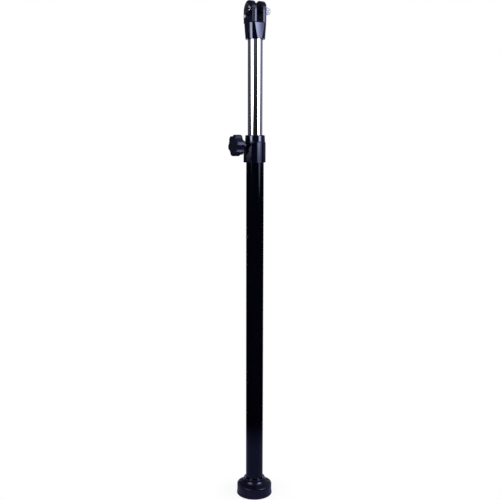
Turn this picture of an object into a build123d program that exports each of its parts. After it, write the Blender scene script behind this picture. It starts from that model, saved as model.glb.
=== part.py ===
from build123d import *
import math
import os

# Telescopic support column of a music stand: a chromed tube slides in a black one and is held by a
# screw clamp. All sizes are in millimetres. The origin is the centre of the sole, +Z points up, the
# bolt of the fork lies along X and the clamp knob stands towards -X.

os.makedirs("parts", exist_ok=True)

# Tubes
outer_tube_radius = 15.0
outer_tube_wall = 1.5
inner_tube_radius = 12.5
inner_tube_wall = 1.2
inner_tube_length = 600.0

# Heights above the floor
stop_rivet_height = 465.0
collar_base = 591.7
collar_step = 624.5
collar_top = 637.5
knob_height = 620.1
fork_base = 794.2
fork_ledge = 820.5
stop_pin_height = 831.5
pivot_height = 841.0
ear_top = 856.2

# Clearances, all radial
running_gap = 0.05
loose_gap = 0.1
free_gap = 0.3

# Foot
foot_height = 30.5
sole_thickness = 7.5
sole_edge_round = 1.4
sole_groove_radii = (20.0, 10.0)
sole_groove_width = 2.0
sole_groove_depth = 1.5
foot_rim_radius = 31.4
foot_rim_height = 6.0
foot_skirt_radius = 30.7
foot_shoulder_height = 18.9
foot_shoulder_round = 1.6
foot_flare_radius = 23.4
foot_flare_height = 21.9
foot_flare_round = 9.0
foot_neck_radius = 18.5
foot_neck_edge = 0.6
foot_washer_thickness = 1.5
foot_washer_hole_radius = 6.0

# Clamp collar
collar_radius = 18.05
collar_ring_radius = 17.0
collar_ring_top_radius = 16.5
collar_ring_slope = 2.5
collar_top_round = 1.6
collar_lip = 5.0
rib_face = 18.3
rib_width = 7.5
rib_middle = -2.35
rib_round = 1.2
pad_face = 19.2
pad_half_width = 7.0
pad_round = 2.2
screw_boss_radius = 7.0
screw_boss_face = 19.0
screw_boss_round = 1.5

# Guide bush
bush_base = 600.0
bush_flange = 1.5
bush_slit = 2.5

# Clamp screw, its insert and its tip
screw_radius = 4.0
screw_chamfer = 0.6
screw_tip_radius = 2.0
screw_tip_length = 2.0
insert_radius = 5.5
insert_lip = 0.8
tip_radius = 3.1
tip_length = 3.65
tip_gap = 0.15
tip_hole_radius = 3.5

# Star knob
knob_radius = 18.15
knob_back = 28.4
knob_depth = 13.8
knob_lobes = 6
knob_first_flute = 41.5
flute_radius = 10.4
flute_depth = 2.7
lobe_round = 2.5
knob_face_round = 1.4
knob_back_round = 0.8
hub_radius = 8.5
hub_back = 22.0
screw_hold = 13.0

# Glide plug at the lower end of the inner tube
glide_flange = 14.0
glide_spigot = 24.0
glide_bore_radius = 8.0
glide_chamfer = 1.0

# Fork
fork_base_radius = 16.35
fork_ledge_radius = 18.3
fork_flat = 16.0
fork_bulge_radius = 160.0
fork_socket_floor = 3.0
fork_ledge_round = 1.2
fork_crease_round = 2.4
ear_half_depth = 16.8
ear_top_round = 16.5
ear_outer = 13.3
ear_front_round = 4.2
ear_rim_round = 0.9
ear_inner_round = 0.9
slot_half = 5.5

# Pivot bolt, cap nut and washers
bolt_radius = 4.0
bolt_head_radius = 10.0
bolt_head_rim = 0.8
bolt_head_round = 2.4
bolt_crown_rise = 1.0
bolt_slot_width = 2.0
bolt_slot_depth = 1.8
bolt_end_gap = 0.5
washer_radius = 8.0
washer_thickness = 1.6
nut_across_flats = 13.0
nut_hex_height = 6.5
nut_chamfer = 0.7
nut_height = 13.5
nut_dome_radius = 6.1
nut_bore_depth = 9.8
friction_washer_radius = 9.0
friction_washer_thickness = 1.2

# Stop pin through the ears, behind the bolt
stop_pin_radius = 2.75
stop_pin_back = 10.5
stop_pin_stand_out = 3.0
stop_pin_end_round = 2.0

# Blind rivets
rivet_radius = 2.0
rivet_head_radius = 3.0
rivet_head_height = 0.8
rivet_head_round = 0.6
rivet_tail_radius = 2.2
stop_rivet_tail = 0.45
collar_rivet_height = 596.2
fork_rivet_height = 805.0
fork_rivet_tail = 1.5

# Worked out from the above
outer_tube_bore = outer_tube_radius - outer_tube_wall
inner_tube_bore = inner_tube_radius - inner_tube_wall
outer_tube_base = sole_thickness + foot_washer_thickness
bush_top = collar_top - collar_lip
outer_tube_top = bush_top - bush_flange
inner_tube_top = fork_ledge - fork_socket_floor
inner_tube_base = inner_tube_top - inner_tube_length
glide_top = inner_tube_base - loose_gap
tip_face = inner_tube_radius + tip_gap
screw_end = tip_face + tip_length + loose_gap
nut_seat = ear_outer + washer_thickness

# Section through the column's axis, and planes along the two cross axes
section = Plane.XZ
knob_plane = Plane(origin=(0, 0, knob_height), x_dir=(0, -1, 0), z_dir=(-1, 0, 0))
pivot_plane = Plane(origin=(0, 0, pivot_height), x_dir=(0, 1, 0), z_dir=(1, 0, 0))
pivot_section = Plane(origin=(0, 0, pivot_height), x_dir=(1, 0, 0), z_dir=(0, -1, 0))
pivot_axis = Axis((0, 0, pivot_height), (1, 0, 0))


def save(piece, name):
    """Label a finished piece and write it to its own file."""
    piece.part.label = name
    export_step(piece.part, f"parts/{name}.step")


def blind_rivet(name, seat, grip, tail, wall_radius=None):
    """A rivet with its domed head on the seat plane, its shank through the grip and its tail behind.

    Where the wall is round, the head's underside is hollowed to the wall's radius.
    """
    sunk = rivet_head_height if wall_radius else 0.0
    shank_root = rivet_head_height / 4
    with BuildPart() as rivet:
        with BuildSketch(seat.offset(-sunk)):
            Circle(rivet_head_radius)
        extrude(amount=sunk + rivet_head_height)
        head_rim = rivet.edges().sort_by(Axis(seat.origin, seat.z_dir))[-1]
        fillet(head_rim, radius=rivet_head_round)
        if wall_radius:
            with BuildSketch(Plane.XY.offset(seat.origin.Z - rivet_head_radius)):
                Circle(wall_radius)
            extrude(amount=2 * rivet_head_radius, mode=Mode.SUBTRACT)
        with BuildSketch(seat.offset(shank_root)):
            Circle(rivet_radius)
        extrude(amount=-grip - shank_root)
        with BuildSketch(seat.offset(-grip)):
            Circle(rivet_tail_radius)
        extrude(amount=-tail)
    save(rivet, name)


def ear_edges_at(piece, distance):
    """The edges above the fork's ledge that lie at this distance to either side of the slot's middle."""
    above_ledge = piece.edges().filter_by(lambda edge: edge.center().Z > fork_ledge + running_gap)
    return above_ledge.filter_by(lambda edge: abs(abs(edge.center().X) - distance) < running_gap)


# Foot: a rubber bell, turned, with two tread grooves in the sole
with BuildPart() as foot_boot:
    with BuildSketch(section):
        with BuildLine():
            sole = Polyline(
                (0, sole_thickness),
                (0, 0),
                (foot_rim_radius - sole_edge_round, 0),
            )
            sole_edge = RadiusArc(sole @ 1, (foot_rim_radius, sole_edge_round), -sole_edge_round)
            skirt = Polyline(
                sole_edge @ 1,
                (foot_skirt_radius, foot_rim_height),
                (foot_skirt_radius, foot_shoulder_height - foot_shoulder_round),
            )
            shoulder = RadiusArc(
                skirt @ 1,
                (foot_skirt_radius - foot_shoulder_round, foot_shoulder_height),
                -foot_shoulder_round,
            )
            slope = Line(shoulder @ 1, (foot_flare_radius, foot_flare_height))
            flare = RadiusArc(
                slope @ 1,
                (foot_neck_radius, foot_height - foot_neck_edge),
                foot_flare_round,
            )
            Polyline(
                flare @ 1,
                (foot_neck_radius - foot_neck_edge, foot_height),
                (outer_tube_radius + running_gap, foot_height),
                (outer_tube_radius + running_gap, sole_thickness),
                sole @ 0,
            )
        make_face()
    revolve(axis=Axis.Z)
    with BuildSketch(Plane.XY):
        for groove_radius in sole_groove_radii:
            Circle(groove_radius + sole_groove_width / 2)
            Circle(groove_radius - sole_groove_width / 2, mode=Mode.SUBTRACT)
    extrude(amount=sole_groove_depth, mode=Mode.SUBTRACT)
save(foot_boot, "foot_boot")

# Steel washer that keeps the tube's end from cutting through the sole
with BuildPart() as foot_washer:
    with BuildSketch(Plane.XY.offset(sole_thickness)):
        Circle(outer_tube_radius - loose_gap)
        Circle(foot_washer_hole_radius, mode=Mode.SUBTRACT)
    extrude(amount=foot_washer_thickness)
save(foot_washer, "foot_washer")

# Outer tube, with holes for the screw's tip and for the two rivets
with BuildPart() as outer_tube:
    with BuildSketch(Plane.XY.offset(outer_tube_base)):
        Circle(outer_tube_radius)
        Circle(outer_tube_bore, mode=Mode.SUBTRACT)
    extrude(amount=outer_tube_top - outer_tube_base)
    with BuildSketch(knob_plane):
        Circle(tip_hole_radius)
        with Locations((0, stop_rivet_height - knob_height)):
            Circle(rivet_radius + running_gap)
    extrude(amount=outer_tube_radius, mode=Mode.SUBTRACT)
    with BuildSketch(Plane.YZ):
        with Locations((0, collar_rivet_height)):
            Circle(rivet_radius + running_gap)
    extrude(amount=outer_tube_radius, mode=Mode.SUBTRACT)
save(outer_tube, "outer_tube")

# Clamp collar: a turned body with a tapered ring, two flat ribs, a pad whose flanks run on from the body,
# and a round boss for the screw
with BuildPart() as clamp_collar:
    with BuildSketch(knob_plane):
        Circle(screw_boss_radius)
    extrude(amount=screw_boss_face)
    fillet(clamp_collar.edges().sort_by(Axis.X)[0], radius=screw_boss_round)
    with BuildSketch(Plane.XY.offset(collar_base)):
        with BuildLine():
            CenterArc((0, 0), collar_radius, 0, 360)
            for side in (-1, 1):
                pad_corner = (pad_round - pad_face, side * (pad_half_width - pad_round))
                CenterArc(pad_corner, pad_round, 0, 360)
        make_hull()
    extrude(amount=collar_step - collar_base)
    with BuildSketch(section) as collar_profile:
        with BuildLine():
            Polyline(
                (0, collar_base),
                (collar_radius, collar_base),
                (collar_radius, collar_step),
                (collar_ring_radius, collar_step + collar_ring_slope),
                (collar_ring_top_radius, collar_top),
                (0, collar_top),
                close=True,
            )
        make_face()
        fillet(collar_profile.vertices().group_by(Axis.Y)[-1].sort_by(Axis.X)[-1], radius=collar_top_round)
    revolve(axis=Axis.Z)
    with BuildSketch(Plane.XY.offset(collar_base)):
        with Locations((rib_middle, 0)):
            RectangleRounded(rib_width, 2 * rib_face, rib_round)
    extrude(amount=collar_step - collar_base)
    with BuildSketch(Plane.XY.offset(collar_base)):
        Circle(outer_tube_radius + running_gap)
    extrude(amount=bush_top - collar_base, mode=Mode.SUBTRACT)
    with BuildSketch(Plane.XY.offset(collar_base)):
        Circle(inner_tube_radius + free_gap)
    extrude(amount=collar_top - collar_base, mode=Mode.SUBTRACT)
    with BuildSketch(knob_plane):
        Circle(insert_radius)
    extrude(amount=pad_face - insert_lip, mode=Mode.SUBTRACT)
    with BuildSketch(knob_plane):
        Circle(screw_radius + free_gap)
    extrude(amount=pad_face, mode=Mode.SUBTRACT)
    with BuildSketch(Plane.YZ):
        with Locations((0, collar_rivet_height)):
            Circle(rivet_radius + running_gap)
    extrude(amount=collar_radius, mode=Mode.SUBTRACT)
save(clamp_collar, "clamp_collar")

# Guide bush: a split nylon sleeve in the mouth of the outer tube
with BuildPart() as guide_bush:
    with BuildSketch(Plane.XY.offset(bush_base)):
        Circle(outer_tube_bore - running_gap)
    extrude(amount=bush_top - bush_base)
    with BuildSketch(Plane.XY.offset(outer_tube_top)):
        Circle(outer_tube_radius - loose_gap)
    extrude(amount=bush_flange)
    with BuildSketch(Plane.XY.offset(bush_base)):
        Circle(inner_tube_radius + running_gap)
    extrude(amount=bush_top - bush_base, mode=Mode.SUBTRACT)
    with BuildSketch(Plane.XY.offset(bush_base)):
        with Locations((outer_tube_radius / 2, 0)):
            Rectangle(outer_tube_radius, bush_slit)
    extrude(amount=bush_top - bush_base, mode=Mode.SUBTRACT)
    with BuildSketch(knob_plane):
        Circle(tip_hole_radius)
    extrude(amount=outer_tube_radius, mode=Mode.SUBTRACT)
save(guide_bush, "guide_bush")

# Threaded brass insert, let into the collar from inside, behind a lip of its pad
with BuildPart() as thread_insert:
    with BuildSketch(knob_plane.offset(outer_tube_radius + loose_gap)):
        Circle(insert_radius)
        Circle(screw_radius + running_gap, mode=Mode.SUBTRACT)
    extrude(amount=pad_face - insert_lip - outer_tube_radius - loose_gap)
save(thread_insert, "thread_insert")

# Nylon tip on the end of the screw, which presses on the inner tube
with BuildPart() as pressure_tip:
    with BuildSketch(knob_plane.offset(tip_face)):
        Circle(tip_radius)
    extrude(amount=tip_length)
    with BuildSketch(knob_plane.offset(tip_face + tip_length)):
        Circle(screw_tip_radius + running_gap)
    extrude(amount=-screw_tip_length, mode=Mode.SUBTRACT)
save(pressure_tip, "pressure_tip")

# Clamp screw, held in the knob, with a thin end that carries the tip
with BuildPart() as clamp_screw:
    with BuildSketch(knob_plane.offset(screw_end)):
        Circle(screw_radius)
    extrude(amount=hub_back + screw_hold - screw_end)
    chamfer(clamp_screw.edges().sort_by(Axis.X)[-1], length=screw_chamfer)
    with BuildSketch(knob_plane.offset(screw_end)):
        Circle(screw_tip_radius)
    extrude(amount=-screw_tip_length)
save(clamp_screw, "clamp_screw")

# Star knob: a fluted head on a plain hub
with BuildPart() as clamp_knob:
    with BuildSketch(knob_plane.offset(knob_back)) as star:
        Circle(knob_radius)
        with PolarLocations(knob_radius + flute_radius - flute_depth, knob_lobes, knob_first_flute):
            Circle(flute_radius, mode=Mode.SUBTRACT)
        fillet(star.vertices(), radius=lobe_round)
    extrude(amount=knob_depth)
    fillet(clamp_knob.faces().sort_by(Axis.X)[0].edges(), radius=knob_face_round)
    fillet(clamp_knob.faces().sort_by(Axis.X)[-1].edges(), radius=knob_back_round)
    with BuildSketch(knob_plane.offset(hub_back)):
        Circle(hub_radius)
    extrude(amount=knob_back - hub_back)
    with BuildSketch(knob_plane.offset(hub_back)):
        Circle(screw_radius)
    extrude(amount=screw_hold, mode=Mode.SUBTRACT)
save(clamp_knob, "clamp_knob")

# Inner tube, with a hole at the back for the fork's rivet
with BuildPart() as inner_tube:
    with BuildSketch(Plane.XY.offset(inner_tube_base)):
        Circle(inner_tube_radius)
        Circle(inner_tube_bore, mode=Mode.SUBTRACT)
    extrude(amount=inner_tube_length)
    with BuildSketch(section):
        with Locations((0, fork_rivet_height)):
            Circle(rivet_radius + running_gap)
    extrude(amount=-inner_tube_radius, mode=Mode.SUBTRACT)
save(inner_tube, "inner_tube")

# Glide plug: its spigot turns in the inner tube and its flange slides in the outer tube
with BuildPart() as tube_glide:
    with BuildSketch(Plane.XY.offset(glide_top - glide_flange)):
        Circle(outer_tube_bore - loose_gap)
    extrude(amount=glide_flange)
    chamfer(tube_glide.edges().sort_by(Axis.Z)[0], length=glide_chamfer)
    with BuildSketch(Plane.XY.offset(glide_top)):
        Circle(inner_tube_bore - loose_gap)
    extrude(amount=glide_spigot)
    chamfer(tube_glide.edges().sort_by(Axis.Z)[-1], length=glide_chamfer)
    with BuildSketch(Plane.XY.offset(glide_top - glide_flange)):
        Circle(glide_bore_radius)
    extrude(amount=glide_flange + glide_spigot, mode=Mode.SUBTRACT)
save(tube_glide, "tube_glide")

# Block of the fork's two ears: a round top with softened rims, and well rounded corners in front
with BuildPart() as ear_block:
    ear_height = ear_top - fork_ledge
    with BuildSketch(pivot_plane) as ear_profile:
        with Locations((0, ear_top - pivot_height - ear_height / 2)):
            Rectangle(2 * ear_half_depth, ear_height)
        fillet(ear_profile.vertices().group_by(Axis.Y)[-1], radius=ear_top_round)
    extrude(amount=ear_outer, both=True)
    fillet(ear_edges_at(ear_block, ear_outer), radius=ear_rim_round)
    with BuildSketch(Plane.XY.offset(fork_ledge)) as ear_plan:
        Rectangle(2 * ear_outer, 2 * ear_half_depth)
        fillet(ear_plan.vertices().group_by(Axis.Y)[0], radius=ear_front_round)
    extrude(amount=ear_height, mode=Mode.INTERSECT)

# Fork: a round socket that grows square towards its ledge, under the two ears
with BuildPart() as fork:
    with BuildSketch(section):
        with BuildLine():
            Polyline(
                (0, fork_base),
                (fork_base_radius, fork_base),
                (fork_ledge_radius, fork_ledge),
                (0, fork_ledge),
                close=True,
            )
        make_face()
    revolve(axis=Axis.Z)
    with BuildSketch(Plane.XY.offset(fork_base)):
        Circle(fork_bulge_radius)
        for side in range(4):
            with PolarLocations(fork_bulge_radius - fork_flat, 1, start_angle=90 * side):
                Circle(fork_bulge_radius, mode=Mode.INTERSECT)
    extrude(amount=fork_ledge - fork_base, mode=Mode.INTERSECT)
    creases = fork.edges().filter_by(lambda edge: edge.bounding_box().size.Z > free_gap)
    fillet(creases, radius=fork_crease_round)
    fillet(fork.edges().group_by(Axis.Z)[-1], radius=fork_ledge_round)
    add(ear_block.part)
    slot_height = ear_top + free_gap - fork_ledge
    with BuildSketch(pivot_section):
        with Locations((0, fork_ledge - pivot_height + slot_height / 2)):
            Rectangle(2 * slot_half, slot_height)
    extrude(amount=fork_ledge_radius, both=True, mode=Mode.SUBTRACT)
    fillet(ear_edges_at(fork, slot_half), radius=ear_inner_round)
    with BuildSketch(Plane.XY.offset(fork_base)):
        Circle(inner_tube_radius + running_gap)
    extrude(amount=inner_tube_top - fork_base, mode=Mode.SUBTRACT)
    with BuildSketch(pivot_plane):
        Circle(bolt_radius + loose_gap)
        with Locations((stop_pin_back, stop_pin_height - pivot_height)):
            Circle(stop_pin_radius + running_gap)
    extrude(amount=ear_outer, both=True, mode=Mode.SUBTRACT)
    with BuildSketch(section):
        with Locations((0, fork_rivet_height)):
            Circle(rivet_radius + running_gap)
    extrude(amount=-fork_flat, mode=Mode.SUBTRACT)
save(fork, "fork")

# Pivot bolt with a low, round-edged head and a slot for a screwdriver
with BuildPart() as pivot_bolt:
    bolt_end = nut_seat + nut_bore_depth - bolt_end_gap
    crown_edge = bolt_head_radius - bolt_head_round
    crown_radius = (crown_edge**2 + bolt_crown_rise**2) / (2 * bolt_crown_rise)
    crown_base = -ear_outer - bolt_head_rim - bolt_head_round
    head_top = crown_base - bolt_crown_rise
    with BuildSketch(pivot_section):
        with BuildLine():
            rim = RadiusArc(
                (-ear_outer - bolt_head_rim, bolt_head_radius),
                (crown_base, crown_edge),
                -bolt_head_round,
            )
            crown = RadiusArc(rim @ 1, (head_top, 0), -crown_radius)
            Polyline(
                crown @ 1,
                (bolt_end, 0),
                (bolt_end, bolt_radius - screw_chamfer),
                (bolt_end - screw_chamfer, bolt_radius),
                (-ear_outer, bolt_radius),
                (-ear_outer, bolt_head_radius),
                rim @ 0,
            )
        make_face()
    revolve(axis=pivot_axis)
    with BuildSketch(pivot_section):
        with Locations((head_top + bolt_slot_depth / 2, 0)):
            Rectangle(bolt_slot_depth, bolt_slot_width)
    extrude(amount=bolt_head_radius, both=True, mode=Mode.SUBTRACT)
save(pivot_bolt, "pivot_bolt")

# Washer under the cap nut
with BuildPart() as pivot_washer:
    with BuildSketch(pivot_plane.offset(ear_outer)):
        Circle(washer_radius)
        Circle(bolt_radius + loose_gap, mode=Mode.SUBTRACT)
    extrude(amount=washer_thickness)
save(pivot_washer, "pivot_washer")

# Cap nut: a hexagon with chamfered corners under a dome
with BuildPart() as pivot_nut:
    with BuildSketch(pivot_plane.offset(nut_seat)):
        RegularPolygon(nut_across_flats / 2, side_count=6, major_radius=False)
    extrude(amount=nut_hex_height)
    nut_corner = nut_across_flats / math.sqrt(3)
    with BuildSketch(pivot_section):
        with BuildLine():
            Polyline(
                (nut_seat, 0),
                (nut_seat, nut_across_flats / 2),
                (nut_seat + nut_chamfer, nut_corner),
                (nut_seat + nut_hex_height - nut_chamfer, nut_corner),
                (nut_seat + nut_hex_height, nut_across_flats / 2 - nut_chamfer),
                (nut_seat + nut_hex_height, 0),
                close=True,
            )
        make_face()
    revolve(axis=pivot_axis, mode=Mode.INTERSECT)
    with BuildSketch(pivot_plane.offset(nut_seat)):
        Circle(nut_dome_radius)
    extrude(amount=nut_height)
    fillet(pivot_nut.edges().sort_by(Axis.X)[-1], radius=nut_dome_radius - loose_gap)
    with BuildSketch(pivot_plane.offset(nut_seat)):
        Circle(bolt_radius + running_gap)
    extrude(amount=nut_bore_depth, mode=Mode.SUBTRACT)
save(pivot_nut, "pivot_nut")

# Friction washers on the bolt, one against the inside of each ear
for name, washer_base in (
    ("friction_washer_left", -slot_half),
    ("friction_washer_right", slot_half - friction_washer_thickness),
):
    with BuildPart() as friction_washer:
        with BuildSketch(pivot_plane.offset(washer_base)):
            Circle(friction_washer_radius)
            Circle(bolt_radius + loose_gap, mode=Mode.SUBTRACT)
        extrude(amount=friction_washer_thickness)
    save(friction_washer, name)

# Round-ended stop pin through both ears
with BuildPart() as stop_pin:
    with BuildSketch(pivot_plane):
        with Locations((stop_pin_back, stop_pin_height - pivot_height)):
            Circle(stop_pin_radius)
    extrude(amount=ear_outer + stop_pin_stand_out, both=True)
    fillet(stop_pin.edges().filter_by(GeomType.CIRCLE), radius=stop_pin_end_round)
save(stop_pin, "stop_pin")

# Rivets: the slide's stop on the outer tube, the collar's fixing and the fork's fixing
stop_seat = Plane(origin=(-outer_tube_radius, 0, stop_rivet_height), z_dir=(-1, 0, 0))
stop_grip = outer_tube_radius - inner_tube_radius - free_gap - stop_rivet_tail
blind_rivet("stop_rivet", stop_seat, stop_grip, stop_rivet_tail, outer_tube_radius)

collar_seat = Plane(origin=(collar_radius, 0, collar_rivet_height), z_dir=(1, 0, 0))
collar_grip = collar_radius - inner_tube_radius - free_gap - stop_rivet_tail
blind_rivet("collar_rivet", collar_seat, collar_grip, stop_rivet_tail, collar_radius)

fork_seat = Plane(origin=(0, fork_flat, fork_rivet_height), z_dir=(0, 1, 0))
blind_rivet("fork_rivet", fork_seat, fork_flat - inner_tube_bore + free_gap, fork_rivet_tail)
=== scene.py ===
# %% [markdown]
# # The column of a music stand
# A black tube stands in a rubber foot. A chromed tube slides in it, and a screw with a star knob clamps
# the two together. A cast fork on top holds the bolt on which the stand's desk would hang. The packed
# model gives the shapes and their places, in metres, with the sole's centre at the origin. This lesson
# gives every surface its finish, makes the few pieces that are better worked out as a formula, and takes
# the picture.

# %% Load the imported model
import math

import bpy
import numpy as np
from mathutils import Matrix, Vector


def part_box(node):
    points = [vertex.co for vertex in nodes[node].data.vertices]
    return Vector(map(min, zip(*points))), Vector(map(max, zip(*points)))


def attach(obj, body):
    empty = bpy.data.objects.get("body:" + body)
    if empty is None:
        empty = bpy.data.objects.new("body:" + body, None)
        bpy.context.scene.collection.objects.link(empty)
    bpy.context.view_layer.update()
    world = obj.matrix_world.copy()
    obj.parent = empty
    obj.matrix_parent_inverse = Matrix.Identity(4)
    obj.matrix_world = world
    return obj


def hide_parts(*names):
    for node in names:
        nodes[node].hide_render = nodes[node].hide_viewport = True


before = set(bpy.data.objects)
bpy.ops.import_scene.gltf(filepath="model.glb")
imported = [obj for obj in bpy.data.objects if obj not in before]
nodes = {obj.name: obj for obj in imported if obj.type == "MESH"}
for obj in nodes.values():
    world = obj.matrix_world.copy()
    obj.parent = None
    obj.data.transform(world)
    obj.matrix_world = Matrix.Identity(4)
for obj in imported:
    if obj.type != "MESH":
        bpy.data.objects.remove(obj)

scene = bpy.context.scene
scene.view_settings.view_transform = "Standard"
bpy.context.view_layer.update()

# %% [markdown]
# ## The camera
# The picture is taken from the knob's side, from about a metre and a quarter away and at two thirds of
# the column's height, looking a little down. The focal length is given in pixels of a square picture,
# because that is what a fit of the column's outline yields. The sensor's width then turns it into
# millimetres. A turn about the upright axis, a tip down and a small roll give the camera's direction.

# %% Camera
picture_width = 500
focal_pixels = 751.0
camera_distance = 1.282
camera_height = 0.624
camera_azimuth = math.radians(-28.0)
camera_yaw = math.radians(-0.37)
camera_tilt = math.radians(8.1)
camera_roll = math.radians(0.07)


def around_column(azimuth, distance, height):
    """A point at this angle round the column: 0 is the camera's side, positive angles lie to its right."""
    turn = camera_azimuth + azimuth
    return Vector((math.sin(turn) * distance, -math.cos(turn) * distance, height))


camera_data = bpy.data.cameras.new("camera")
camera_data.lens = focal_pixels / picture_width * camera_data.sensor_width
camera = bpy.data.objects.new("camera", camera_data)
scene.collection.objects.link(camera)
move = Matrix.Translation(around_column(0, camera_distance, camera_height))
turn = Matrix.Rotation(camera_azimuth - camera_yaw, 4, "Z")
tip = Matrix.Rotation(math.pi / 2 - camera_tilt, 4, "X")
roll = Matrix.Rotation(camera_roll, 4, "Z")
camera.matrix_world = move @ turn @ tip @ roll
scene.camera = camera
print(f"camera lens {camera_data.lens:.2f} mm at {tuple(round(c, 3) for c in camera.location)}")

# %% [markdown]
# ## Helpers for shader nodes
# Every finish is a small tree of nodes. Written out in full, one node takes four or five lines, so a
# helper adds a node, sets its options, and fills each input with either a plain value or another node's
# output. The other helpers name what is wanted most: a smooth step, a blend and the larger of two values.

# %% Node helpers
def add_node(tree, kind, inputs=None, **options):
    """Add a node of this kind. An input may be a plain value or the output socket of another node."""
    node = tree.nodes.new("ShaderNode" + kind)
    for option, value in options.items():
        setattr(node, option, value)
    for name, value in (inputs or {}).items():
        if isinstance(value, bpy.types.NodeSocket):
            tree.links.new(value, node.inputs[name])
        else:
            node.inputs[name].default_value = value
    return node


def ramp(tree, value, source, target=(0.0, 1.0)):
    """Carry a value smoothly from the source range to the target range."""
    ranges = {"From Min": source[0], "From Max": source[1], "To Min": target[0], "To Max": target[1]}
    ranged = add_node(tree, "MapRange", {"Value": value, **ranges}, interpolation_type="SMOOTHSTEP")
    return ranged.outputs["Result"]


def blend(tree, factor, first, second):
    """The first number where the factor is 0 and the second where it is 1."""
    return add_node(tree, "Mix", {"Factor": factor, 2: first, 3: second}).outputs[0]


def opaque(colour):
    """A colour of three numbers with full alpha. The output of a node stays as it is."""
    return colour if isinstance(colour, bpy.types.NodeSocket) else (*colour, 1)


def blend_colours(tree, factor, first, second):
    """The first colour where the factor is 0 and the second where it is 1."""
    inputs = {"Factor": factor, 6: opaque(first), 7: opaque(second)}
    return add_node(tree, "Mix", inputs, data_type="RGBA").outputs[2]


def larger(tree, first, second):
    """The larger of two numbers."""
    return add_node(tree, "Math", {0: first, 1: second}, operation="MAXIMUM").outputs[0]


print("node helpers ready")

# %% [markdown]
# ## The room
# Polished metal has no colour of its own: it shows the room. The bright surfaces here are the paper sweep
# and the lamps, and the rest of the room is dim, darkest on its floor and on the camera's side and a
# little lighter overhead and to the right. The world's colour therefore depends on the direction that a
# mirrored ray takes. Rays from the camera see plain white, and scattered light gets an even grey fill.
# Each span below says between which two values of the direction one part of the room blends into the next.

# %% World
white = (1, 1, 1)
fill_light = 0.3
room_tint = (0.74, 0.78, 1.0)
room_low, room_high = 0.016, 0.15
room_left, room_right = 0.09, 0.24
room_floor = 0.01
low_to_high = (0.02, 0.22)
left_to_right = (-0.3, 0.3)
floor_to_wall = (-0.045, -0.005)
front_to_flank = (0.25, -0.25)

world = bpy.data.worlds.new("room")
world.use_nodes = True
scene.world = world
tree = world.node_tree
direction = add_node(tree, "TexCoord").outputs["Generated"]
upwards = add_node(tree, "SeparateXYZ", {0: direction}).outputs["Z"]


def share_towards(azimuth):
    """How far the ray points towards this angle round the column: 1 straight at it, -1 away from it."""
    aim = {0: direction, 1: around_column(azimuth, 1, 0)}
    return add_node(world.node_tree, "VectorMath", aim, operation="DOT_PRODUCT").outputs["Value"]


camera_side = ramp(tree, upwards, low_to_high, (room_low, room_high))
walls = ramp(tree, share_towards(math.pi / 2), left_to_right, (room_left, room_right))
flanks = blend(tree, ramp(tree, upwards, floor_to_wall), room_floor, walls)
room = blend(tree, ramp(tree, share_towards(0), front_to_flank), camera_side, flanks)
ray = add_node(tree, "LightPath").outputs
mirrored_or_fill = blend(tree, ray["Is Glossy Ray"], fill_light, room)
straight = larger(tree, ray["Is Camera Ray"], ray["Is Transmission Ray"])
background = tree.nodes["Background"]
tree.links.new(blend_colours(tree, ray["Is Glossy Ray"], white, room_tint), background.inputs["Color"])
tree.links.new(blend(tree, straight, mirrored_or_fill, 1.0), background.inputs["Strength"])
print("room from", room_low, "to", room_right, "and fill", fill_light)

# %% [markdown]
# ## The paper sweep
# A studio floor is a wide strip of white paper that runs back from the object and curves up into a wall,
# so that no corner shows. Its section is a line, a quarter circle and a line, carried sideways. One helper
# numbers the corners of the faces in any grid of points, and the turned pieces further on use it too.

# %% Floor and backdrop
def grid_faces(rows, columns, closed=False):
    """Corner numbers of the four-sided faces between neighbouring rows and columns of a grid of points."""
    steps_across = columns if closed else columns - 1
    row, column = np.meshgrid(np.arange(rows - 1), np.arange(steps_across), indexing="ij")
    start, after = row * columns, (column + 1) % columns
    corners = [start + column, start + after, start + columns + after, start + columns + column]
    return np.stack(corners, axis=-1).reshape(-1, 4)


def paper_sweep(front, back, height, curve_radius, half_width, steps=24):
    """Points of the sweep: the section (along, up) runs flat, turns a quarter circle and rises; it is
    carried from the left edge to the right edge."""
    angle = np.linspace(0, math.pi / 2, steps)
    along = np.concatenate([[-front], back - curve_radius + curve_radius * np.sin(angle), [back]])
    up = np.concatenate([[0.0], curve_radius * (1 - np.cos(angle)), [height]])
    away = np.array(around_column(math.pi, 1, 0))
    right = np.array(around_column(math.pi / 2, 1, 0))
    side = np.array([-half_width, half_width])
    section = along[:, None] * away + up[:, None] * np.array([0, 0, 1])
    return section[:, None, :] + side[None, :, None] * right


sweep_points = paper_sweep(front=0.6, back=2.4, height=2.6, curve_radius=0.6, half_width=0.9)
sweep_faces = grid_faces(*sweep_points.shape[:2])
sweep_mesh = bpy.data.meshes.new("paper_sweep")
sweep_mesh.from_pydata(sweep_points.reshape(-1, 3).tolist(), [], sweep_faces.tolist())
sweep_mesh.shade_smooth()
sweep = bpy.data.objects.new("paper_sweep", sweep_mesh)
scene.collection.objects.link(sweep)
print("paper sweep with", len(sweep_mesh.polygons), "faces")

# %% [markdown]
# ## The paper's look
# The paper is shown white whatever falls on it, and near the foot a share of honest shading keeps the
# shadow. What the gloss of the black pieces mirrors is painted light and shade: the wall glows pale and
# fades lower down to the floor's colour, and the floor glows as a painted dim, cool pool of light near the
# foot that turns to painted dark two or three hand widths away. The reaches below are distances in metres,
# from the foot or up the wall.

# %% Paper
paper_white = (0.9, 0.9, 0.9)
painted_pool_colour = (0.18, 0.18, 0.35)
painted_dark_floor = (0.006, 0.006, 0.012)
paper_wall = (0.82, 0.85, 1.0)
shadow_share = 0.10
shadow_reach = (0.03, 0.09)
painted_pool_reach = (0.20, 0.37)
painted_wall_fade = (0.1, 0.7)

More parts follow.
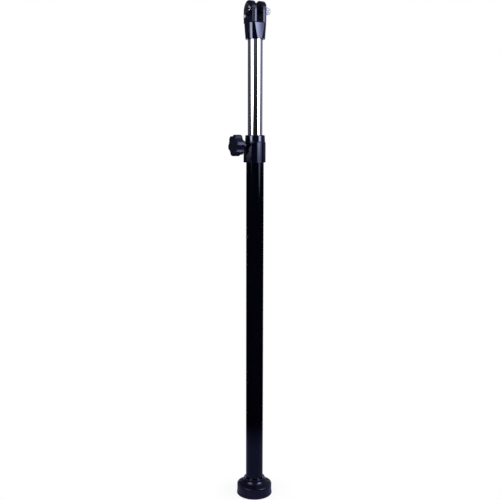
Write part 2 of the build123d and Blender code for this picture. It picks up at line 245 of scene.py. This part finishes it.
paper = bpy.data.materials.new("paper")
paper.use_nodes = True
tree = paper.node_tree
tree.nodes.clear()
place = add_node(tree, "TexCoord").outputs["Object"]
from_foot = add_node(tree, "VectorMath", {0: place}, operation="LENGTH").outputs["Value"]
up_wall = add_node(tree, "SeparateXYZ", {0: place}).outputs["Z"]
# Painted light for glossy rays: a dim pool near the foot, painted dark beyond it, and a pale wall above.
painted_floor_light = blend_colours(tree, ramp(tree, from_foot, painted_pool_reach), painted_pool_colour, painted_dark_floor)
mirrored = blend_colours(tree, ramp(tree, up_wall, painted_wall_fade), painted_floor_light, paper_wall)
ray = add_node(tree, "LightPath").outputs
shown = blend_colours(tree, ray["Is Glossy Ray"], white, mirrored)
camera_or_mirror = larger(tree, ray["Is Camera Ray"], ray["Is Glossy Ray"])
seen = larger(tree, camera_or_mirror, ray["Is Transmission Ray"])
glow = ramp(tree, from_foot, shadow_reach, (1 - shadow_share, 1.0))
share = add_node(tree, "Math", {0: seen, 1: glow}, operation="MULTIPLY")
matt = add_node(tree, "BsdfDiffuse", {"Color": opaque(paper_white)})
lit = add_node(tree, "Emission", {"Color": shown, "Strength": 1.0})
both = add_node(tree, "MixShader", {0: share.outputs[0], 1: matt.outputs[0], 2: lit.outputs[0]})
add_node(tree, "OutputMaterial", {"Surface": both.outputs[0]})
sweep_mesh.materials.append(paper)
print("paper with", len(tree.nodes), "nodes")

# %% [markdown]
# ## The lamps
# The two white bands on the chrome are two tall oval softboxes, one at each side of the camera. Brighter
# spots low in them, where the bulbs sit, give the sharp lights on the collar, the foot and the fork's
# edges. A softbox is an oval area light whose strength falls from its middle to its rim: the light's own
# surface coordinates, which run from 0 to 1, give the distance from the middle. The angles round the column
# are in degrees, and the lamps' light is nearly white, a little cooler on the right.

# %% Softboxes
lamp_distance = 1.5
lamp_middle = (0.5, 0.5, 0)
middle_to_rim = (0.0, 0.5)
cool, mild = (0.80, 0.83, 1.0), (0.92, 0.95, 1.0)


def softbox(name, tint, azimuth, height, half_width, half_height, core, rim):
    """An oval area light facing the column, with radiance core in its middle and rim at its edge."""
    light = bpy.data.lights.new(name, "AREA")
    light.shape = "ELLIPSE"
    light.size = 2 * half_width
    light.size_y = 2 * half_height
    light.energy = math.pi * (math.pi * half_width * half_height)
    light.color = tint
    light.use_nodes = True
    tree = light.node_tree
    place = add_node(tree, "NewGeometry").outputs["Parametric"]
    from_middle = add_node(tree, "VectorMath", {0: place, 1: lamp_middle}, operation="DISTANCE")
    strength = ramp(tree, from_middle.outputs["Value"], middle_to_rim, (core, rim))
    tree.links.new(strength, tree.nodes["Emission"].inputs["Strength"])
    lamp = bpy.data.objects.new(name, light)
    lamp.location = around_column(math.radians(azimuth), lamp_distance, height)
    lamp.rotation_euler = (Vector((0, 0, height)) - lamp.location).to_track_quat("-Z", "Y").to_euler()
    lamp.visible_camera = False
    scene.collection.objects.link(lamp)
    print(f"{name} at {azimuth} degrees, {height} m up")


softbox(
    "softbox_right", cool, azimuth=60, height=1.55, half_width=0.77, half_height=1.10, core=3.3, rim=2.1
)
softbox(
    "softbox_left", mild, azimuth=-48, height=1.65, half_width=0.82, half_height=1.10, core=2.6, rim=1.6
)
softbox(
    "bulb_right", cool, azimuth=57, height=0.80, half_width=0.52, half_height=0.26, core=19.0, rim=0.0
)
softbox(
    "bulb_right_top", cool, azimuth=49, height=1.10, half_width=0.30, half_height=0.40, core=17.0, rim=0.0
)
softbox(
    "bulb_left", mild, azimuth=-46, height=0.80, half_width=0.48, half_height=0.20, core=15.0, rim=0.0
)

# %% [markdown]
# ## How a finish is built
# A finish starts from one shader with plain values for what is the same all over. Noise on the piece's own
# coordinates then varies colour, roughness and height a little. The size of a noise is written as the
# length of one patch in metres, and a stretched noise makes drawn or turned lines. Nearly all values of a
# noise lie in its middle, so only that span is carried over to the colours and the roughness. The black
# paint, plastic and rubber share one plain value: a blue cast in their gloss. The chrome beside them shows
# that the lamps are nearly white, so the cast belongs to the finish and not to the light.

# %% Finish helpers
black_gloss = (0.72, 0.77, 1.0, 1.0)
noise_span = (0.3, 0.7)


def new_finish(name, **plain_values):
    """A material with one shader, whose sockets take the plain values, written with _ for spaces."""
    finish = bpy.data.materials.new(name)
    finish.use_nodes = True
    shader = finish.node_tree.nodes["Principled BSDF"]
    for socket, value in plain_values.items():
        shader.inputs[socket.replace("_", " ")].default_value = value
    return finish.node_tree, shader, finish


def patches(tree, size, stretch=(1, 1, 1), detail=3.0, shift=0.0):
    """Noise with patches of this size in metres, made longer by the stretch along X, Y and Z."""
    place = add_node(tree, "TexCoord").outputs["Object"]
    scale = [1 / (size * longer) for longer in stretch]
    moved = {"Vector": place, "Location": (shift, shift, shift), "Scale": scale}
    mapped = add_node(tree, "Mapping", moved).outputs[0]
    return add_node(tree, "TexNoise", {"Vector": mapped, "Scale": 1.0, "Detail": detail}).outputs["Fac"]


def vary_roughness(tree, shader, value, low, high):
    """Roughness goes from low to high with the value."""
    tree.links.new(ramp(tree, value, noise_span, (low, high)), shader.inputs["Roughness"])


def vary_colour(tree, shader, value, first, second, source=noise_span):
    """Base colour goes from the first to the second colour with the value."""
    colour = blend_colours(tree, ramp(tree, value, source), first, second)
    tree.links.new(colour, shader.inputs["Base Color"])


def raise_surface(tree, shader, value, height):
    """Raise the surface by up to this height in metres where the value is 1."""
    bump = add_node(tree, "Bump", {"Height": value, "Distance": height, "Strength": 1.0})
    tree.links.new(bump.outputs[0], shader.inputs["Normal"])


def paint_nodes(finish, *names):
    """Give the finish to these CAD nodes."""
    for name in names:
        nodes[name].material_slots[0].material = finish


print("finish helpers ready")

# %% [markdown]
# ## Chrome and black zinc
# The inner tube is drawn steel, polished and chromed. Plating is almost a mirror, so the roughness stays
# very low, and only fine marks along the tube, from drawing and from sliding in its bush, dull it here and
# there. The bolt and its washer are turned, so their marks run round their own axis instead, and they are
# plated in black zinc, a dark mirror. The washer gives back a tenth of the light, and the bolt's head,
# which hands and tools have rubbed bright, about a quarter.

# %% Plated metal
along_tube = (1, 1, 120)
round_bolt = (1, 12, 12)


def plated_finish(name, mark_stretch, hazy, clear):
    """A mirror whose marks are stretched along X, Y and Z, and whose colour goes from hazy to clear."""
    tree, shader, finish = new_finish(name, Metallic=1.0)
    marks = patches(tree, size=0.0004, stretch=mark_stretch, detail=4.0)
    haze = patches(tree, size=0.03, shift=3.0)
    vary_roughness(tree, shader, marks, low=0.03, high=0.075)
    vary_colour(tree, shader, haze, hazy, clear)
    raise_surface(tree, shader, marks, height=0.0000002)
    return finish


tube_chrome = plated_finish("tube_chrome", along_tube, (0.78, 0.785, 0.82), (0.86, 0.865, 0.885))
black_zinc = plated_finish("black_zinc", round_bolt, (0.085, 0.085, 0.10), (0.11, 0.11, 0.125))
rubbed_zinc = plated_finish("rubbed_zinc", round_bolt, (0.20, 0.20, 0.22), (0.28, 0.28, 0.30))
paint_nodes(tube_chrome, "inner_tube")
paint_nodes(black_zinc, "pivot_washer")
paint_nodes(rubbed_zinc, "pivot_bolt")
print("chrome on the inner tube, black zinc on the bolt and the washer")

# %% [markdown]
# ## Black enamel
# The outer tube is sprayed and baked. Such paint is a deep black with a clear gloss, and its surface keeps
# a faint orange peel, some millimetres wide and a few thousandths of one high. Hands leave wide patches
# that are a little duller. The fork is a casting under the same paint, so its peel is finer but higher, and
# its gloss is softer.

# %% Enamel
tube_black = (0.0003, 0.0004, 0.0012), (0.0006, 0.0007, 0.0022)
casting_black = (0.0006, 0.0008, 0.0070), (0.0011, 0.0014, 0.0110)


def enamel_finish(name, peel_size, peel_height, gloss, blacks):
    """Gloss paint with an orange peel. Where it is handled, roughness and black go from the first value of
    each pair to the second."""
    tree, shader, finish = new_finish(name, IOR=1.5, Specular_Tint=black_gloss)
    peel = patches(tree, peel_size, detail=2.0)
    handling = patches(tree, size=0.045, stretch=(1, 1, 2.5), shift=7.0)
    vary_roughness(tree, shader, handling, *gloss)
    vary_colour(tree, shader, handling, *blacks)
    raise_surface(tree, shader, peel, peel_height)
    return finish


tube_enamel = enamel_finish(
    "tube_enamel", peel_size=0.0030, peel_height=0.000003, gloss=(0.05, 0.09), blacks=tube_black
)
casting_enamel = enamel_finish(
    "casting_enamel", peel_size=0.0020, peel_height=0.000005, gloss=(0.08, 0.13), blacks=casting_black
)
paint_nodes(tube_enamel, "outer_tube")
paint_nodes(casting_enamel, "fork")
print("enamel on the outer tube and the fork")

# %% [markdown]
# ## Moulded plastic
# The collar comes from a polished mould and is glossy, with faint rings from the mould's turning. The knob
# comes from a mould with a fine spark-eroded grain, which makes it satin: the grain is real height, and the
# roughness stands for what is finer still. The pits of the grain swallow part of the light, so the level of
# the knob's gloss is set lower than a smooth plastic's.

# %% Collar and knob
collar_blacks = (0.0006, 0.0008, 0.0050), (0.0012, 0.0015, 0.0080)
tree, shader, collar_plastic = new_finish("collar_plastic", IOR=1.5, Specular_Tint=black_gloss)
mould_rings = patches(tree, size=0.0006, stretch=(40, 40, 1), detail=2.0)
vary_roughness(tree, shader, mould_rings, low=0.06, high=0.10)
vary_colour(tree, shader, patches(tree, size=0.02, shift=2.0), *collar_blacks)
raise_surface(tree, shader, mould_rings, height=0.0000015)
paint_nodes(collar_plastic, "clamp_collar")

knob_blacks = (0.0025, 0.0024, 0.0100), (0.0048, 0.0046, 0.0160)
grain_gloss = 0.33
tree, shader, knob_plastic = new_finish(
    "knob_plastic", IOR=1.5, Specular_IOR_Level=grain_gloss, Specular_Tint=black_gloss
)
grain = patches(tree, size=0.0005, detail=4.0)
vary_roughness(tree, shader, patches(tree, size=0.008, shift=5.0), low=0.34, high=0.42)
vary_colour(tree, shader, grain, *knob_blacks)
raise_surface(tree, shader, grain, height=0.000012)
paint_nodes(knob_plastic, "clamp_knob")
print("plastic on the collar and the knob")

# %% [markdown]
# ## Rubber
# The foot is moulded in black rubber with a slight navy bloom. Rubber is rougher than plastic, its grain is
# coarser, and floor dust greys it towards the sole. The height above the floor, read from the object's own
# coordinates and broken up by noise, mixes that dust in.

# %% Rubber foot
dust_height = 0.006
dust_span = (0.4 * dust_height, 1.6 * dust_height)
dusty, clean = (0.0050, 0.0050, 0.0130), (0.0012, 0.0012, 0.0065)
tree, shader, rubber = new_finish("rubber", IOR=1.5, Specular_Tint=black_gloss)
grain = patches(tree, size=0.0009, detail=5.0)
place = add_node(tree, "TexCoord").outputs["Object"]
over_floor = add_node(tree, "SeparateXYZ", {0: place}).outputs["Z"]
broken_up = {0: patches(tree, size=0.006, shift=4.0), 1: dust_height, 2: over_floor}
uneven = add_node(tree, "Math", broken_up, operation="MULTIPLY_ADD").outputs[0]
vary_colour(tree, shader, uneven, dusty, clean, source=dust_span)
vary_roughness(tree, shader, grain, low=0.16, high=0.24)
raise_surface(tree, shader, grain, height=0.000006)
paint_nodes(rubber, "foot_boot")
print("rubber on the foot")

# %% [markdown]
# ## Zinc and brass
# The screw and the foot's washer are zinc plated: a blueish, slightly cloudy metal with fine turning lines
# round the screw's axis. The nut and the pin are dipped in zinc flake instead, which dries to a pale, satin
# coat that is more paint than metal. The insert is turned brass.

# %% Turned metal
def turned_metal(name, pale, deep, smooth, rough, metallic=1.0):
    """Metal with fine turning lines, clouded between two colours and two degrees of roughness."""
    tree, shader, finish = new_finish(name, Metallic=metallic)
    lines = patches(tree, size=0.0003, stretch=(1, 10, 10))
    cloud = patches(tree, size=0.004, shift=1.0)
    vary_roughness(tree, shader, cloud, smooth, rough)
    vary_colour(tree, shader, cloud, deep, pale)
    raise_surface(tree, shader, lines, height=0.000004)
    return finish


zinc_plate = turned_metal(
    "zinc_plate", pale=(0.72, 0.74, 0.80), deep=(0.56, 0.58, 0.64), smooth=0.16, rough=0.30
)
turned_brass = turned_metal(
    "turned_brass", pale=(0.82, 0.64, 0.33), deep=(0.70, 0.52, 0.24), smooth=0.18, rough=0.32
)
flake_zinc = turned_metal(
    "flake_zinc", pale=(0.64, 0.63, 0.64), deep=(0.58, 0.57, 0.58), smooth=0.44, rough=0.56, metallic=0.15
)
paint_nodes(zinc_plate, "foot_washer", "clamp_screw")
paint_nodes(flake_zinc, "pivot_nut", "stop_pin")
paint_nodes(turned_brass, "thread_insert")
print("zinc on the screw, the nut, the pin and the foot's washer, brass on the insert")

# %% [markdown]
# ## Nylon and fibre
# The bush, the glide and the tip are natural nylon, an off-white plastic. It lets a little light in, and
# the red part goes deepest, so the shader scatters some light under the surface. The friction washers are
# pressed from black fibre, whose strands lie flat in the washer.

# %% Nylon and fibre washers
natural_nylon = (0.74, 0.73, 0.67), (0.82, 0.81, 0.77)
light_depth = (0.002, 0.0018, 0.0014)
tree, shader, nylon = new_finish(
    "nylon", IOR=1.53, Subsurface_Weight=0.15, Subsurface_Radius=light_depth, Subsurface_Scale=1.0
)
mottle = patches(tree, size=0.003, detail=4.0)
vary_roughness(tree, shader, mottle, low=0.42, high=0.55)
vary_colour(tree, shader, mottle, *natural_nylon)
raise_surface(tree, shader, mottle, height=0.00001)
paint_nodes(nylon, "guide_bush", "pressure_tip", "tube_glide")

fibre_blacks = (0.004, 0.004, 0.006), (0.010, 0.010, 0.012)
tree, shader, black_fibre = new_finish("black_fibre", IOR=1.5)
fibres = patches(tree, size=0.0008, stretch=(1, 3, 3), detail=4.0)
vary_roughness(tree, shader, fibres, low=0.5, high=0.65)
vary_colour(tree, shader, fibres, *fibre_blacks)
raise_surface(tree, shader, fibres, height=0.00002)
paint_nodes(black_fibre, "friction_washer_left", "friction_washer_right")
print("nylon on the bush, the glide and the tip, fibre on the friction washers")

# %% [markdown]
# ## Turned surfaces
# The screw and the rivets are turned pieces, so one helper closes them: rings of points, one row for each
# step along the piece's axis, with a single point on the axis at each end. The rings could also be made
# with Spin or Screw, but a grid of points keeps every ring at a known place. If the volume inside comes
# out negative, the faces point inwards, and their order is turned round.

# %% Closed rings helper
smooth_limit = math.radians(35)


def turned_piece(name, rings, first_end, last_end, finish, body, slot, *replaced):
    """A closed mesh of rings (steps along, points round, 3), ended by one point at each end."""
    steps, around = rings.shape[:2]
    points = np.concatenate([rings.reshape(-1, 3), [first_end], [last_end]])
    walls = grid_faces(steps, around, closed=True)
    here = np.arange(around)
    after = (here + 1) % around
    last_ring = (steps - 1) * around
    first_fan = np.stack([after, here, np.full(around, len(points) - 2)], axis=1)
    last_fan = np.stack([last_ring + here, last_ring + after, np.full(around, len(points) - 1)], axis=1)
    triangles = np.concatenate([walls[:, :3], walls[:, [0, 2, 3]], first_fan, last_fan])
    a, b, c = points[triangles].transpose(1, 0, 2)
    inside_out = np.einsum("ij,ij->i", a, np.cross(b, c)).sum() < 0
    order = -1 if inside_out else 1
    faces = [face[::order] for group in (walls, first_fan, last_fan) for face in group.tolist()]
    mesh = bpy.data.meshes.new(name)
    mesh.from_pydata(points.tolist(), [], faces)
    mesh.shade_smooth()
    mesh.set_sharp_from_angle(angle=smooth_limit)
    mesh.materials.append(finish)
    piece = bpy.data.objects.new(name, mesh)
    scene.collection.objects.link(piece)
    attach(piece, body)
    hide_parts(*replaced)
    print(f"{name}: {len(points)} points, {len(faces)} faces, turned round: {inside_out}")


print(f"edges sharper than {math.degrees(smooth_limit):.0f} degrees stay sharp")

# %% [markdown]
# ## Threads
# Between the collar's pad and the knob a few turns of the M8 screw show. A thread is one ridge wound as a
# helix, so its height depends on how far along the axis a point is, less one pitch for each turn round it.
# A triangle wave of that distance, clipped at both ends, gives the flanks, the flat crest and the root. A
# cone trims the end, where a screw has its lead-in.

# %% Thread helpers
thread_pitch = 0.00125
depth_per_pitch = 0.61
thread_depth = depth_per_pitch * thread_pitch
crest_share, root_share = 0.125, 0.25
steps_per_pitch, points_round = 14, 64
lead_in = 0.0006
angle = np.linspace(0, 2 * math.pi, points_round, endpoint=False)


def thread_rows(start, end, crest_radius):
    """Places along X, and for each of them the radii round the axis: the crest radius less the depth
    times a clipped triangle wave of along / pitch - angle / full turn."""
    along = np.linspace(start, end, int((end - start) / thread_pitch * steps_per_pitch))
    phase = (along[:, None] / thread_pitch - angle / (2 * math.pi)) % 1.0
    from_crest = 2 * np.abs(phase - 0.5)
    depth_share = np.clip((from_crest - crest_share) / (1 - crest_share - root_share), 0, 1)
    cone = crest_radius - lead_in + (end - along)
    return along, np.minimum(crest_radius - thread_depth * depth_share, cone[:, None])


def round_rows(radii):
    """The same radius all the way round, for each of these radii."""
    return np.broadcast_to(np.array(radii)[:, None], (len(radii), points_round))


def rings_along_x(along, radius, height):
    """Points on rings round an axis that runs along X at this height: y is the radius times the cosine of
    the angle, and z is the height plus the radius times its sine."""
    x = np.broadcast_to(along[:, None], radius.shape)
    return np.stack([x, radius * np.cos(angle), height + radius * np.sin(angle)], axis=-1)


print(f"threads of {thread_pitch * 1000:.2f} mm pitch, {thread_depth * 1000:.2f} mm deep")

# %% [markdown]
# ## The clamp screw
# The screw is moulded into the knob. Its far end is turned thin, to carry the nylon tip. Length, height
# and thickness are read from the box of the solid that it replaces, so the two always agree.

# %% Clamp screw
thin_radius, thin_length = 0.0020, 0.0020
screw_low, screw_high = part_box("clamp_screw")
screw_height = (screw_high.z + screw_low.z) / 2
thin_start = screw_high.x - thin_length
along, radius = thread_rows(screw_low.x, thin_start, (screw_high.y - screw_low.y) / 2)
along = np.concatenate([along, [thin_start, screw_high.x]])
radius = np.concatenate([radius, round_rows([thin_radius, thin_radius])])
turned_piece(
    "threaded_screw", rings_along_x(along, radius, screw_height), (screw_low.x, 0, screw_height),
    (screw_high.x, 0, screw_height), zinc_plate, "knob", "zinc_steel", "clamp_screw",
)

# %% [markdown]
# ## The section of a blind rivet
# A blind rivet has a low domed head with a dimple where the pulled mandrel broke off. Its section is a list
# of rings, each a radius and a height over the seat. It starts on the dimple's floor, climbs over the dome,
# rounds the rim, and goes back under the head and down the shank.

# %% Rivet section
head_height = 0.0008
shank_radius = 0.0020
dimple_radius, dimple_depth = 0.0008, 0.00045
floor_share, wall_share, edge_share = 0.7, 0.92, 1.15
wall_depth_share = 0.6
rim_share, dome_share = 0.7, 0.12
dome_steps, rim_steps = 8, 6
under_head = 3


def rivet_section(head_radius, grip):
    """Radii and heights from the dimple's floor over the dome to the rim, under the head and down the
    shank. The dome falls with the square of the radius, and a quarter circle rounds the rim."""
    rim_round = rim_share * head_height
    dome = np.linspace(dimple_radius * edge_share, head_radius - rim_round, dome_steps)
    fall = dome_share * head_height * (dome / head_radius) ** 2
    bend = np.linspace(0, math.pi / 2, rim_steps + 1)[1:]
    rim_top = head_height - fall[-1] - rim_round
    radii = [
        [dimple_radius * floor_share, dimple_radius * wall_share],
        dome,
        head_radius - rim_round + rim_round * np.sin(bend),
        [head_radius, shank_radius, shank_radius],
    ]
    heights = [
        [head_height - dimple_depth, head_height - wall_depth_share * dimple_depth],
        head_height - fall,
        rim_top + rim_round * np.cos(bend),
        [0.0, 0.0, -grip],
    ]
    return np.concatenate(radii), np.concatenate(heights)


print(f"rivet heads {head_height * 1000:.1f} mm high")

# %% [markdown]
# ## The rivets
# Three rivets are set from outside: one stops the glide, one holds the collar and one holds the fork.
# A head on a round wall has a hollow underside that fits the wall, so the rings under the head are moved
# down onto the wall: how far depends on the distance from its middle line. The rivets are painted black,
# and the paint is rubbed a little.

# %% Rivets
rivet_points = 48
rivet_blacks = (0.0015, 0.0015, 0.0022), (0.006, 0.006, 0.0075)
tree, shader, rivet_paint = new_finish("rivet_paint", IOR=1.5, Specular_Tint=black_gloss)
rubbed = patches(tree, size=0.0007, detail=4.0)
vary_roughness(tree, shader, rubbed, low=0.22, high=0.36)
vary_colour(tree, shader, rubbed, *rivet_blacks)
raise_surface(tree, shader, rubbed, height=0.000008)


def blind_rivet(name, node, body, outward, wall_radius=None):
    """A rivet on the node's own place, its head towards outward, seated on a round or a flat wall: every
    ring is seat + radius cos(angle) sideways + radius sin(angle) up + height outward."""
    low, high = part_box(node)
    middle = np.array((low + high) / 2)
    outward = np.array(outward, float)
    top = max(np.dot(outward, low), np.dot(outward, high))
    length = abs(np.dot(outward, high - low))
    radii, heights = rivet_section((high.z - low.z) / 2, length - head_height)
    sideways = np.cross(outward, (0, 0, 1))
    angle = np.linspace(0, 2 * math.pi, rivet_points, endpoint=False)
    across = radii[:, None] * np.cos(angle)
    up = radii[:, None] * np.sin(angle)
    raised = np.broadcast_to(heights[:, None], across.shape).copy()
    if wall_radius:
        seat_rows = slice(len(radii) - under_head, len(radii) - 1)
        raised[seat_rows] = np.sqrt(wall_radius**2 - across[seat_rows] ** 2) - wall_radius
    seat = middle + (top - head_height - np.dot(outward, middle)) * outward
    rings = seat + across[..., None] * sideways + up[..., None] * np.array([0, 0, 1])
    rings = rings + raised[..., None] * outward
    floor = seat + heights[0] * outward
    tail = seat + heights[-1] * outward
    turned_piece(name, rings, floor, tail, rivet_paint, body, "black_rivet", node)


outer_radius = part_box("outer_tube")[1].y
collar_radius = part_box("clamp_collar")[1].x
blind_rivet("stop_rivet_head", "stop_rivet", "column", (-1, 0, 0), outer_radius)
blind_rivet("collar_rivet_head", "collar_rivet", "column", (1, 0, 0), collar_radius)
blind_rivet("fork_rivet_head", "fork_rivet", "mast", (0, 1, 0))
